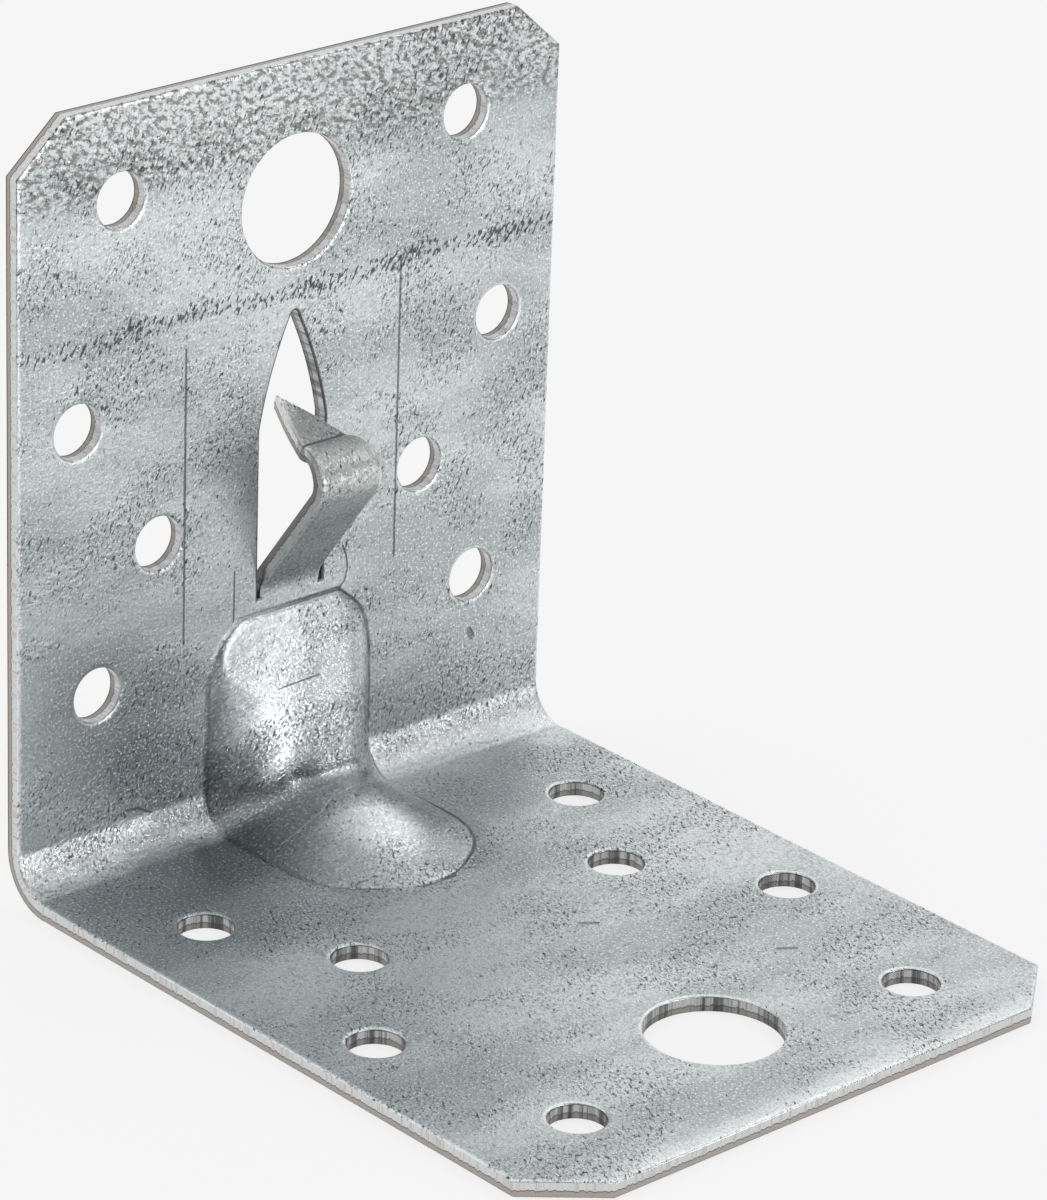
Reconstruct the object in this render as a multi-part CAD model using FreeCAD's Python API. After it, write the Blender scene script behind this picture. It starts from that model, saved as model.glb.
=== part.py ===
import FreeCAD, Part
import math
import os

# Reinforced angle bracket, pressed and folded from one strip of galvanised sheet.
# Millimetres. X runs across the bracket, the base leg runs towards -Y and rests
# on Z = 0, and the upright leg stands at the +Y side. The outer faces meet at the
# heel line, and the finished bracket is moved so that the middle of its footprint
# lies at the origin.

# Sheet and fold
width = 60.0
upright_height = 71.0
base_length = 71.0
sheet = 1.5
bend_inner_radius = 3.5
edge_ease = 0.35

# Cropped free corners, along the end and along the side
upright_crop_end = 5.1
upright_crop_side = 4.5
base_crop_end = 6.2
base_crop_side = 5.2

# Punched holes, the same pattern on both legs. The first three rows keep their
# distance from the heel, the bolt hole and the last row theirs from the free end.
nail_hole = 5.0
bolt_hole = 12.0
punch_ease = 0.3
heel_row = 17.15
row_pitch = 12.5
end_row_edge = 9.1
bolt_row_step = 4.1
pattern_shift = 0.55
heel_row_offset = 21.4
inner_row_offset = 14.8
outer_row_offset = 23.6
end_row_offset = 19.1

# Lanced tongue and the slot that it leaves in the upright
slot_foot = 22.0
slot_half_width = 3.7
slot_shoulder = 37.8
slot_waist_half = 2.45
slot_apex_half = 0.45
slot_bolt_gap = 4.1
tongue_half_width = 3.35
tongue_sheet = 1.4
tongue_root = 22.3
root_radius = 2.0
flank_angle = 37.0
flank_length = 12.0
nose_radius = 2.9
crease_fall = 16.4
flap_rise = 18.5
flap_length = 7.6
flap_waist_half = 2.05

# Pressed bead that follows the inside of the fold. Its surface is laid out on the
# straight chord between the middle of its top crease and its tip on the base.
bead_top = 20.5
bead_reach = 22.3
bead_top_half = 5.65
bead_foot_half = 9.3
bead_rise = 3.6
bead_inset = 0.6
bead_sink = 0.12
bead_margin = 2.4

# Share of the bead's rise, at shares of the chord's length
rise_shares = (
    (0.00, 0.0),
    (0.10, 0.30),
    (0.20, 0.58),
    (0.30, 0.85),
    (0.40, 1.0),
    (0.52, 1.0),
    (0.64, 0.93),
    (0.75, 0.79),
    (0.86, 0.54),
    (0.94, 0.28),
    (1.00, 0.06),
)

# Share of the way from the top's half-width to the foot's, along the chord
spread_shares = (
    (0.00, 0.0),
    (0.05, 0.62),
    (0.11, 0.90),
    (0.20, 1.0),
    (0.55, 1.0),
    (0.74, 1.04),
    (0.83, 0.90),
    (0.91, 0.40),
    (0.97, -0.45),
    (1.00, -1.10),
)

# Share of the bead's half-width that is its flat crown, along the chord
crown_shares = (
    (0.00, 0.93),
    (0.12, 0.66),
    (0.28, 0.46),
    (0.50, 0.40),
    (1.00, 0.20),
)

# Drawn step around the bead's foot: its share of the rise, and its width
step_rise = 0.30
step_run = 0.9

# Points laid along and across the bead's two surfaces
inner_rows = 24
inner_columns = 33
outer_rows = 22
outer_columns = 27

# Derived values
half_width = width / 2.0
bend_outer_radius = bend_inner_radius + sheet
overcut = 2.0
upright_bolt = upright_height - end_row_edge - bolt_row_step + pattern_shift
slot_apex = upright_bolt - bolt_hole / 2.0 - slot_bolt_gap - slot_apex_half
slot_waist = (slot_shoulder + slot_apex) / 2.0
X_AXIS = FreeCAD.Vector(1, 0, 0)


def at(x, y, z):
    """Return a point of the bracket, with the heel line at Y = 0 and Z = 0."""
    return FreeCAD.Vector(x, y, z)


def outline_face(points):
    """Return the flat face inside a closed run of straight lines."""
    return Part.Face(Part.makePolygon(points + [points[0]]))


def arc(first, middle, last):
    """Return the edge of the circle arc through three points."""
    return Part.Arc(first, middle, last).toShape()


def line(first, last):
    """Return a straight edge."""
    return Part.makeLine(first, last)


def turned(centre_y, centre_z, radius, degrees):
    """Return the point at an angle on a circle in the middle plane, from +Y to +Z."""
    angle = math.radians(degrees)
    return at(0, centre_y + radius * math.cos(angle), centre_z + radius * math.sin(angle))


def fold_corner(radius):
    """Return the fold's arc of a given radius, from the base leg to the upright."""
    middle = bend_outer_radius
    return arc(
        turned(-middle, middle, radius, 270),
        turned(-middle, middle, radius, 315),
        turned(-middle, middle, radius, 360),
    )


def folded_strip():
    """Return the bare folded strip with square corners."""
    radius = bend_outer_radius
    inner = fold_corner(bend_inner_radius)
    outer = fold_corner(radius)
    edges = [
        outer,
        line(at(0, 0, radius), at(0, 0, upright_height)),
        line(at(0, 0, upright_height), at(0, -sheet, upright_height)),
        line(at(0, -sheet, upright_height), at(0, -sheet, radius)),
        inner,
        line(at(0, -radius, sheet), at(0, -base_length, sheet)),
        line(at(0, -base_length, sheet), at(0, -base_length, 0)),
        line(at(0, -base_length, 0), at(0, -radius, 0)),
    ]
    face = Part.Face(Part.Wire(Part.__sortEdges__(edges)))
    face.translate(X_AXIS * -half_width)
    return face.extrude(X_AXIS * width)


def cropped_corners():
    """Return the four corner pieces that are cropped off the free ends."""
    pieces = []
    for side in (-1, 1):
        edge = side * half_width
        far = side * (half_width + overcut)
        top = upright_height
        upright = outline_face([
            at(edge - side * upright_crop_end, overcut, top),
            at(edge, overcut, top - upright_crop_side),
            at(far, overcut, top - upright_crop_side),
            at(far, overcut, top + overcut),
            at(edge - side * upright_crop_end, overcut, top + overcut),
        ])
        pieces.append(upright.extrude(at(0, -2 * overcut - sheet, 0)))
        end = -base_length
        base = outline_face([
            at(edge - side * base_crop_end, end, -overcut),
            at(edge, end + base_crop_side, -overcut),
            at(far, end + base_crop_side, -overcut),
            at(far, end - overcut, -overcut),
            at(edge - side * base_crop_end, end - overcut, -overcut),
        ])
        pieces.append(base.extrude(at(0, 0, 2 * overcut + sheet)))
    return pieces


def on_inner_face(point):
    """Tell whether a point lies on the inner face of the folded strip."""
    near = 1e-4
    radius = bend_outer_radius
    if point.z >= radius - near:
        return abs(point.y + sheet) < near
    if point.y <= -radius + near:
        return abs(point.z - sheet) < near
    reach = math.hypot(point.y + radius, point.z - radius)
    return abs(reach - bend_inner_radius) < near


def eased_edges(strip):
    """Return the strip with the shear's ease along the rim of its inner face."""
    rim = []
    for edge in strip.Edges:
        middle = edge.valueAt((edge.FirstParameter + edge.LastParameter) / 2.0)
        ends = [vertex.Point for vertex in edge.Vertexes]
        if not all(on_inner_face(point) for point in ends + [middle]):
            continue
        across = abs(ends[0].x - ends[-1].x) > width - overcut
        if across and abs(middle.z - bend_outer_radius) < 1e-4:
            continue
        if across and abs(middle.y + bend_outer_radius) < 1e-4:
            continue
        rim.append(edge)
    return strip.makeChamfer(edge_ease, rim)


def punch(diameter):
    """Return the space of one punched hole, entered at Z = 0 and leaving below."""
    radius = diameter / 2.0
    mouth = radius + punch_ease
    bottom = -sheet - overcut
    edges = [
        line(at(0, 0, overcut), at(mouth, 0, overcut)),
        line(at(mouth, 0, overcut), at(mouth, 0, 0)),
        line(at(mouth, 0, 0), at(radius, 0, -punch_ease)),
        line(at(radius, 0, -punch_ease), at(radius, 0, bottom)),
        line(at(radius, 0, bottom), at(0, 0, bottom)),
        line(at(0, 0, bottom), at(0, 0, overcut)),
    ]
    return Part.Face(Part.Wire(edges)).revolve(at(0, 0, 0), at(0, 0, 1), 360)


def hole_places(leg):
    """Return each hole of a leg of a given length as its diameter, side offset and row."""
    end_row = leg - end_row_edge
    rows = (
        (heel_row, heel_row_offset),
        (heel_row + row_pitch, inner_row_offset),
        (heel_row + 2 * row_pitch, outer_row_offset),
        (end_row, end_row_offset),
    )
    places = [(bolt_hole, 0.0, end_row - bolt_row_step)]
    for row, offset in rows:
        for side in (-1, 1):
            places.append((nail_hole, side * offset, row))
    return places


def punched_holes():
    """Return the spaces of all the holes in both legs."""
    spaces = []
    for diameter, offset, row in hole_places(base_length):
        down = punch(diameter)
        down.translate(at(offset, -(row - pattern_shift), sheet))
        spaces.append(down)
    for diameter, offset, row in hole_places(upright_height):
        through = punch(diameter)
        through.rotate(at(0, 0, 0), X_AXIS, 90)
        through.translate(at(offset, -sheet, row + pattern_shift))
        spaces.append(through)
    return spaces


def slot():
    """Return the pointed slot in the upright, which the tongue was cut from."""
    back = overcut
    left = [
        at(-slot_half_width, back, slot_shoulder),
        at(-slot_waist_half, back, slot_waist),
        at(-slot_apex_half, back, slot_apex),
    ]
    right = [at(-point.x, point.y, point.z) for point in left]
    tip = at(0, back, slot_apex + slot_apex_half)
    foot_left = at(-slot_half_width, back, slot_foot)
    foot_right = at(slot_half_width, back, slot_foot)
    edges = [
        line(foot_left, left[0]),
        arc(*left),
        arc(left[2], tip, right[2]),
        arc(right[2], right[1], right[0]),
        line(right[0], foot_right),
        line(foot_right, foot_left),
    ]
    return Part.Face(Part.Wire(edges)).extrude(at(0, -sheet - 2 * overcut, 0))


def tongue_path():
    """Return the named points of the tongue's side view as (y, z) pairs."""
    lean = math.radians(flank_angle)
    fall = math.radians(crease_fall)
    rise = math.radians(flap_rise)
    root_y = -sheet - root_radius
    flank_start = (root_y + root_radius * math.cos(lean), tongue_root + root_radius * math.sin(lean))
    flank_end = (
        flank_start[0] - flank_length * math.sin(lean),
        flank_start[1] + flank_length * math.cos(lean),
    )
    nose = (
        flank_end[0] + nose_radius * math.cos(lean),
        flank_end[1] + nose_radius * math.sin(lean),
    )
    crease = (
        nose[0] + nose_radius * math.sin(fall),
        nose[1] + nose_radius * math.cos(fall),
    )
    tip = (
        crease[0] + flap_length * math.cos(rise),
        crease[1] + flap_length * math.sin(rise),
    )
    return {"root": (root_y, tongue_root), "nose": nose, "crease": crease, "tip": tip}


def tongue():
    """Return the tongue: a bowed strip whose end folds back through the slot."""
    path = tongue_path()
    root_y, root_z = path["root"]
    nose_y, nose_z = path["nose"]
    crease_y, crease_z = path["crease"]
    tip_y, tip_z = path["tip"]
    front = root_radius
    back = root_radius + tongue_sheet
    outer = nose_radius
    inner = nose_radius - tongue_sheet
    flank = 180 + flank_angle
    top = 90 - crease_fall
    half = (flank + top) / 2.0
    drop = 270 - crease_fall
    lift = 270 + flap_rise
    sunk = root_z - sheet
    tip_under = turned(tip_y, tip_z, tongue_sheet, lift)
    edges = [
        line(at(0, -sheet, sunk), at(0, -sheet, root_z)),
        arc(
            turned(root_y, root_z, front, 0),
            turned(root_y, root_z, front, flank_angle / 2.0),
            turned(root_y, root_z, front, flank_angle),
        ),
        line(turned(root_y, root_z, front, flank_angle), turned(nose_y, nose_z, outer, flank)),
        arc(
            turned(nose_y, nose_z, outer, flank),
            turned(nose_y, nose_z, outer, half),
            turned(nose_y, nose_z, outer, top),
        ),
        line(at(0, crease_y, crease_z), at(0, tip_y, tip_z)),
        line(at(0, tip_y, tip_z), tip_under),
        line(tip_under, turned(crease_y, crease_z, tongue_sheet, lift)),
        arc(
            turned(crease_y, crease_z, tongue_sheet, lift),
            turned(crease_y, crease_z, tongue_sheet, (lift + drop) / 2.0),
            turned(crease_y, crease_z, tongue_sheet, drop),
        ),
        arc(
            turned(nose_y, nose_z, inner, top),
            turned(nose_y, nose_z, inner, half),
            turned(nose_y, nose_z, inner, flank),
        ),
        line(turned(nose_y, nose_z, inner, flank), turned(root_y, root_z, back, flank_angle)),
        arc(
            turned(root_y, root_z, back, flank_angle),
            turned(root_y, root_z, back, flank_angle / 2.0),
            turned(root_y, root_z, back, 0),
        ),
        line(turned(root_y, root_z, back, 0), at(0, root_y + back, sunk)),
        line(at(0, root_y + back, sunk), at(0, -sheet, sunk)),
    ]
    face = Part.Face(Part.Wire(edges))
    face.translate(X_AXIS * -tongue_half_width)
    strip = face.extrude(X_AXIS * (2 * tongue_half_width))
    return strip.cut(tongue_trim(path))


def tongue_trim(path):
    """Return the space beside the pointed end of the tongue, above its nose."""
    nose_y, nose_z = path["nose"]
    tip_y, tip_z = path["tip"]
    start_y = nose_y - nose_radius
    waist_y = (start_y + tip_y) / 2.0
    top = tip_z + overcut
    tall = at(0, 0, top - nose_z)
    spaces = []
    for side in (-1, 1):
        far = side * (tongue_half_width + overcut)
        shoulder = at(side * tongue_half_width, start_y, nose_z)
        waist = at(side * flap_waist_half, waist_y, nose_z)
        point = at(0, tip_y, nose_z)
        edges = [
            arc(shoulder, waist, point),
            line(point, at(0, tip_y + overcut, nose_z)),
            line(at(0, tip_y + overcut, nose_z), at(far, tip_y + overcut, nose_z)),
            line(at(far, tip_y + overcut, nose_z), at(far, start_y, nose_z)),
            line(at(far, start_y, nose_z), shoulder),
        ]
        spaces.append(Part.Face(Part.Wire(edges)).extrude(tall))
    return spaces


def along(stations, share):
    """Return the value at a share, eased between the stations and straight beyond."""
    last = len(stations) - 1

    def slope(i):
        """Return the slope through the neighbours of one station."""
        low = stations[max(i - 1, 0)]
        high = stations[min(i + 1, last)]
        return (high[1] - low[1]) / (high[0] - low[0])

    if share <= stations[0][0]:
        return stations[0][1] + slope(0) * (share - stations[0][0])
    if share >= stations[last][0]:
        return stations[last][1] + slope(last) * (share - stations[last][0])
    k = max(i for i in range(last) if stations[i][0] <= share)
    gap = stations[k + 1][0] - stations[k][0]
    t = (share - stations[k][0]) / gap
    start = stations[k][1] * (1 + 2 * t) * (1 - t) ** 2
    end = stations[k + 1][1] * t * t * (3 - 2 * t)
    leave = slope(k) * gap * t * (1 - t) ** 2
    arrive = slope(k + 1) * gap * t * t * (t - 1)
    return start + end + leave + arrive


def eased(share):
    """Return a smooth rise from nought to one."""
    held = min(max(share, 0.0), 1.0)
    return held * held * (3 - 2 * held)


def chord():
    """Return the chord's start, its direction, the way to the heel and its length."""
    start = at(0, -sheet, bead_top)
    span = at(0, -bead_reach, sheet) - start
    run = span * (1.0 / span.Length)
    down = at(0, -run.z, run.y)
    return start, run, down, span.Length


def leg_depth(distance, skin):
    """Return the depth of the legs' faces below the chord, a skin behind the inner ones."""
    start, run, down, length = chord()
    point = start + run * distance
    to_upright = (-sheet + skin - point.y) / down.y
    to_base = (sheet - skin - point.z) / down.z
    centre = at(0, -bend_outer_radius, bend_outer_radius)
    offset = point - centre
    half = offset.dot(down)
    inside = half ** 2 - offset.dot(offset) + (bend_inner_radius + skin) ** 2
    if inside > 0:
        reach = math.sqrt(inside) - half
        hit = point + down * reach
        if hit.y > centre.y and hit.z < centre.z:
            return reach
    return min(to_upright, to_base)


def section(x, half, crown, skin):
    """Return the height share of a bead section of a given half-width, at one place."""
    dome = eased((half - abs(x)) / (half - crown * half))
    if skin > 0:
        return dome
    step = eased((half - abs(x)) / step_run)
    return step_rise * step + (1 - step_rise) * dome


def bead_depth(distance, x, skin):
    """Return the depth below the chord of one point of the pressed surface."""
    share = distance / chord()[3]
    held = min(max(share, 0.0), 1.0)
    spread = bead_foot_half - bead_top_half
    half = bead_top_half + spread * along(spread_shares, held) - bead_inset * skin / sheet
    height = bead_rise * along(rise_shares, share)
    crown = along(crown_shares, held)
    rise = height * section(x, half, crown, skin) if height > 0 else height
    outside = abs(x) - half
    sunk = bead_sink * (eased((outside + step_run) / (2 * step_run)) + max(outside, 0.0))
    return leg_depth(distance, skin) - rise + sunk


def bead_surface(skin, rows, columns):
    """Return the pressed surface on the inner or, a skin behind, the outer side."""
    start, run, down, length = chord()
    side = bead_foot_half + bead_margin
    grid = []
    for i in range(rows):
        distance = -bead_margin + (length + 2 * bead_margin) * i / (rows - 1)
        row = []
        for j in range(columns):
            x = side * (2.0 * j / (columns - 1) - 1)
            row.append(start + run * distance + down * bead_depth(distance, x, skin) + at(x, 0, 0))
        grid.append(row)
    surface = Part.BSplineSurface()
    surface.interpolate(grid)
    return surface


def behind(surface):
    """Return the space behind a pressed surface, out past the heel."""
    length = bead_top + bead_reach
    return surface.toShape().extrude(at(0, length, -length))


def inner_space():
    """Return the space inside the fold, from the middle of the sheet inwards."""
    skin = sheet / 2.0
    middle = bend_outer_radius
    radius = bend_inner_radius + skin
    top = bead_top + bead_reach
    end = -bead_reach - bead_top
    edges = [
        fold_corner(radius),
        line(turned(-middle, middle, radius, 360), at(0, -skin, top)),
        line(at(0, -skin, top), at(0, end, top)),
        line(at(0, end, top), at(0, end, skin)),
        line(at(0, end, skin), turned(-middle, middle, radius, 270)),
    ]
    face = Part.Face(Part.Wire(Part.__sortEdges__(edges)))
    face.translate(X_AXIS * -half_width)
    return face.extrude(X_AXIS * width)


def angle_bracket():
    """Return the whole bracket as one solid, with the heel line at Y = 0."""
    strip = folded_strip().cut(cropped_corners())
    strip = eased_edges(strip.removeSplitter())
    bead = behind(bead_surface(0.0, inner_rows, inner_columns)).common(inner_space())
    hollow = behind(bead_surface(sheet, outer_rows, outer_columns))
    body = strip.fuse(bead).cut(hollow)
    body = body.cut(punched_holes() + [slot()])
    return body.fuse(tongue()).removeSplitter()


os.makedirs("parts", exist_ok=True)
bracket = angle_bracket()
tip_overhang = tongue_path()["tip"][0]
bracket.translate(at(0, (base_length - tip_overhang) / 2.0, 0))
bracket = bracket.Solids[0] if len(bracket.Solids) == 1 else bracket
bracket.exportStep("parts/angle_bracket.step")
print("angle_bracket", bracket.ShapeType, len(bracket.Solids), "valid", bracket.isValid())
print("volume", round(bracket.Volume, 1), "box", bracket.BoundBox)
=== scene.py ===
import logging
import math
from dataclasses import dataclass, field
from enum import Enum
from functools import partial
from typing import Callable, Dict, Iterable, List, Optional, Sequence, Tuple

import bmesh
import bpy
from bmesh.types import BMesh, BMFace, BMVert
from bpy.types import Material, Node, NodeSocket as Socket, NodeTree, Object
from mathutils import Matrix, Vector


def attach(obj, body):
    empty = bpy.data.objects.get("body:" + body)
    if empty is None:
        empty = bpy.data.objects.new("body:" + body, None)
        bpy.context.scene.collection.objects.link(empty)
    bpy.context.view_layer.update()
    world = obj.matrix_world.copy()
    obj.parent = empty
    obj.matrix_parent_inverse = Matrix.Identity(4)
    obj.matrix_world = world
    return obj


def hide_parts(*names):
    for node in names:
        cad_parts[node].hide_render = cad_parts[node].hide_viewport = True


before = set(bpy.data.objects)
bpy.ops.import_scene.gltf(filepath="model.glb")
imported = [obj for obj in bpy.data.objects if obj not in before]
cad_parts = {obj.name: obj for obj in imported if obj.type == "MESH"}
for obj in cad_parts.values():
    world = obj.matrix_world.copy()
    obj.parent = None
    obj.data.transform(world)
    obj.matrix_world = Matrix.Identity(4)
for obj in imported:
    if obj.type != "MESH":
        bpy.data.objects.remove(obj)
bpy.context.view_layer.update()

logging.basicConfig(level=logging.INFO, format="%(message)s")
LOG = logging.getLogger("bracket")

MM = 0.001
UV_SCALE = 100.0  # one unit of the blank's UV map is this many millimetres
# Points nearer than this, in mm, lie on a cut line, share a vertex, lie on the sheet's face
# or lie on a cut wall
ON_LINE, WELD, LEVEL, AT_RIM = 1e-4, 1e-5, 1e-3, 1e-6

Pair = Tuple[float, float]
Triple = Tuple[float, float, float]
Colour = Tuple[float, float, float, float]
Stations = Tuple[Pair, ...]
# A straight mark in the blank: x and s of both ends, half-width, strength if it isn't one
Mark = Tuple[float, ...]


def linear(hex_colour: str) -> Colour:
    """Turn an sRGB hex colour, written as #rrggbb, into linear light with full alpha."""
    channels = [int(hex_colour[i:i + 2], 16) / 255.0 for i in (1, 3, 5)]
    curve = [c / 12.92 if c <= 0.04045 else ((c + 0.055) / 1.055) ** 2.4 for c in channels]
    return (curve[0], curve[1], curve[2], 1.0)


def eased(share: float) -> float:
    """Return a smooth rise from nought to one."""
    held = min(max(share, 0.0), 1.0)
    return held * held * (3 - 2 * held)


def along(stations: Stations, share: float) -> float:
    """Return the value at a share, eased between stations.

    Args:
        stations: Pairs of share and value, in order.
        share: Where to read, from nought to one.

    Returns:
        The value there, on a smooth line through the stations.
    """
    last = len(stations) - 1

    def slope(i: int) -> float:
        """Return the slope through the neighbours of one station."""
        low = stations[max(i - 1, 0)]
        high = stations[min(i + 1, last)]
        return (high[1] - low[1]) / (high[0] - low[0])

    held = min(max(share, stations[0][0]), stations[last][0])
    k = max(i for i in range(last) if stations[i][0] <= held)
    gap = stations[k + 1][0] - stations[k][0]
    t = (held - stations[k][0]) / gap
    start = stations[k][1] * (1 + 2 * t) * (1 - t) ** 2
    end = stations[k + 1][1] * t * t * (3 - 2 * t)
    leave = slope(k) * gap * t * (1 - t) ** 2
    arrive = slope(k + 1) * gap * t * t * (t - 1)
    return start + end + leave + arrive


def to_object(bm: BMesh, name: str) -> Object:
    """Turn a finished mesh into an object of the scene."""
    mesh = bpy.data.meshes.new(name)
    bm.to_mesh(mesh)
    bm.free()
    piece = bpy.data.objects.new(name, mesh)
    bpy.context.scene.collection.objects.link(piece)
    return piece


class Finish(Enum):
    """The bracket's finishes, by the number of their material slot."""

    FACE = 0
    CUT = 1


@dataclass
class Fold:
    """The folded sheet: maps the flat blank's stations to the bent bracket.

    A blank point has x across, s along the strip and t through the sheet, all in
    millimetres. s is nought where the base leg meets the bend, and grows up the upright.
    """

    sheet: float = 1.5
    inner_radius: float = 3.5
    upright_height: float = 71.0
    base_length: float = 71.0
    tip_overhang: float = 1.2176

    @property
    def outer_radius(self) -> float:
        """Return the radius of the bend's outer face."""
        return self.inner_radius + self.sheet

    @property
    def bend_length(self) -> float:
        """Return the length of the bend along the sheet's middle."""
        return math.radians(90) * (self.outer_radius - self.sheet / 2)

    @property
    def base_end(self) -> float:
        """Return the station of the base leg's free end."""
        return self.outer_radius - self.base_length

    @property
    def upright_end(self) -> float:
        """Return the station of the upright's free end."""
        return self.upright_station(self.upright_height)

    def base_station(self, reach: float) -> float:
        """Return the station at a distance from the heel along the base."""
        return self.outer_radius - reach

    def upright_station(self, height: float) -> float:
        """Return the station at a height up the upright."""
        return self.bend_length + height - self.outer_radius

    def place(self, x: float, s: float, t: float) -> Vector:
        """Return the bent place of a blank point.

        Args:
            x: Across the strip.
            s: Station along the strip.
            t: Height above the outer face.

        Returns:
            The point in millimetres, with the heel line at Y = 0 and Z = 0.
        """
        radius = self.outer_radius
        if s <= 0:
            return Vector((x, s - radius, t))
        if s >= self.bend_length:
            return Vector((x, -t, radius + s - self.bend_length))
        angle = math.radians(270) + s / self.bend_length * math.radians(90)
        reach = radius - t
        return Vector((x, -radius + reach * math.cos(angle), radius + reach * math.sin(angle)))

    def settled(self, point: Vector) -> Vector:
        """Return a heel-frame point in the part's own frame, in metres."""
        shift = (self.base_length - self.tip_overhang) / 2
        return Vector((point.x, point.y + shift, point.z)) * MM


@dataclass
class Bead:
    """The pressed stiffening bead over the fold, laid out on a straight chord."""

    fold: Fold
    top: float = 20.5
    reach: float = 22.3
    top_half: float = 5.65
    foot_half: float = 9.3
    inset: float = 0.6
    step_rise: float = 0.14
    step_run: float = 0.45
    foot_reach: float = 2.0
    end_slope: float = 1.4
    dome_power: float = 2.2
    hollow_narrowing: float = 0.25
    soft_from: float = 1.5
    soft_over: float = 7.0
    # By share of the chord: the depth under it in mm, on the crest and, as the soft one,
    # towards -X, where the press runs out
    depth_shares: Stations = (
        (0.00, 0.0), (0.12, 2.40), (0.24, 4.74), (0.33, 6.42), (0.39, 7.60), (0.43, 8.38),
        (0.475, 8.90), (0.515, 8.44), (0.56, 7.02), (0.60, 5.90), (0.64, 5.22), (0.70, 4.42),
        (0.80, 3.08), (0.90, 1.62), (1.00, 0.0),
    )
    soft_shares: Stations = (
        (0.00, 0.0), (0.12, 2.60), (0.20, 4.22), (0.27, 5.44), (0.34, 6.44), (0.41, 7.20),
        (0.46, 7.60), (0.50, 7.66), (0.54, 7.26), (0.58, 6.54), (0.62, 5.74), (0.66, 5.06),
        (0.72, 4.16), (0.80, 3.06), (0.90, 1.60), (1.00, 0.0),
    )
    # How far the half-width has grown from the top's towards the foot's
    spread_shares: Stations = (
        (0.00, 0.0), (0.05, 0.62), (0.11, 0.90), (0.20, 1.0), (0.55, 1.0), (0.74, 1.04),
        (0.83, 0.90), (0.91, 0.40), (0.97, -0.45), (1.00, -1.10),
    )
    # The part of the half-width that stays at full height, on either side
    left_crown: Stations = (
        (0.00, 0.90), (0.10, 0.86), (0.17, 0.62), (0.25, 0.18), (0.33, 0.0), (1.00, 0.0),
    )
    right_crown: Stations = (
        (0.00, 0.80), (0.12, 0.64), (0.28, 0.58), (0.42, 0.50), (0.62, 0.10), (1.00, 0.0),
    )

    @property
    def start(self) -> Vector:
        """Return the middle of the bead's top crease."""
        return Vector((0, -self.fold.sheet, self.top))

    @property
    def span(self) -> Vector:
        """Return the chord from the top crease to the tip on the base."""
        return Vector((0, -self.reach, self.fold.sheet)) - self.start

    def share(self, point: Vector) -> float:
        """Return how far along the chord a point lies, from nought to one."""
        return (point - self.start).dot(self.span) / self.span.length_squared

    @property
    def inward(self) -> Vector:
        """Return the way the sheet is pressed, square to the chord."""
        run = self.span.normalized()
        return Vector((0, run.z, -run.y))

    def plain(self, share: float) -> float:
        """Return how deep the plain bent inner face lies under the chord."""
        run, radius = self.span.normalized(), self.fold.inner_radius
        heel = self.fold.outer_radius
        centre = Vector((0, -heel, heel)) - self.start
        across = share * self.span.length - centre.dot(run)
        if across < radius * run.y:
            return share * self.span.length * run.y / run.z
        if across > -radius * run.z:
            return (1 - share) * self.span.length * run.z / run.y
        return math.sqrt(radius ** 2 - across ** 2) - centre.dot(self.inward)

    def half(self, share: float, skin: float = 0.0) -> float:
        """Return the bead's half-width at a share of the chord."""
        spread = (self.foot_half - self.top_half) * along(self.spread_shares, share)
        return self.top_half + spread - self.inset * skin / self.fold.sheet

    def foot(self, point: Vector) -> float:
        """Return the distance inwards from the bead's contour, held within its reach."""
        share = self.share(point)
        ends = min(share, 1 - share) * self.span.length * self.end_slope
        inwards = min(self.half(share) - abs(point.x), ends, self.foot_reach)
        return max(inwards, -self.foot_reach)

    def height(self, point: Vector, skin: float) -> float:
        """Return how far the sheet is pressed in at one place.

        Args:
            point: The point on the plain bent sheet.
            skin: Depth behind the inner face.

        Returns:
            The height over the plain bent sheet, in millimetres.
        """
        share = self.share(point)
        if share <= 0 or share >= 1:
            return 0.0
        half = self.half(share, skin)
        if abs(point.x) >= half:
            return 0.0
        sheet = self.fold.sheet
        crown = along(self.left_crown if point.x < 0 else self.right_crown, share)
        away = max(abs(point.x) / half - crown, 0.0) / (1 - crown)
        dome = (1 - away ** self.dome_power) ** (1 + self.hollow_narrowing * skin / sheet)
        soft = eased((self.soft_from - point.x) / self.soft_over)
        crest, side = along(self.depth_shares, share), along(self.soft_shares, share)
        rise = self.plain(share) - ((1 - soft) * crest + soft * side)
        inwards = eased(self.foot(point) / self.step_run)
        step = self.step_rise * (1 - skin / sheet) * inwards
        return rise * dome + step

    def press(self, point: Vector, t: float) -> Tuple[Vector, float]:
        """Return a bent point after the press, and its height over the plain sheet."""
        height = self.height(point, self.fold.sheet - t)
        return point + self.inward * height, height


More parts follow.
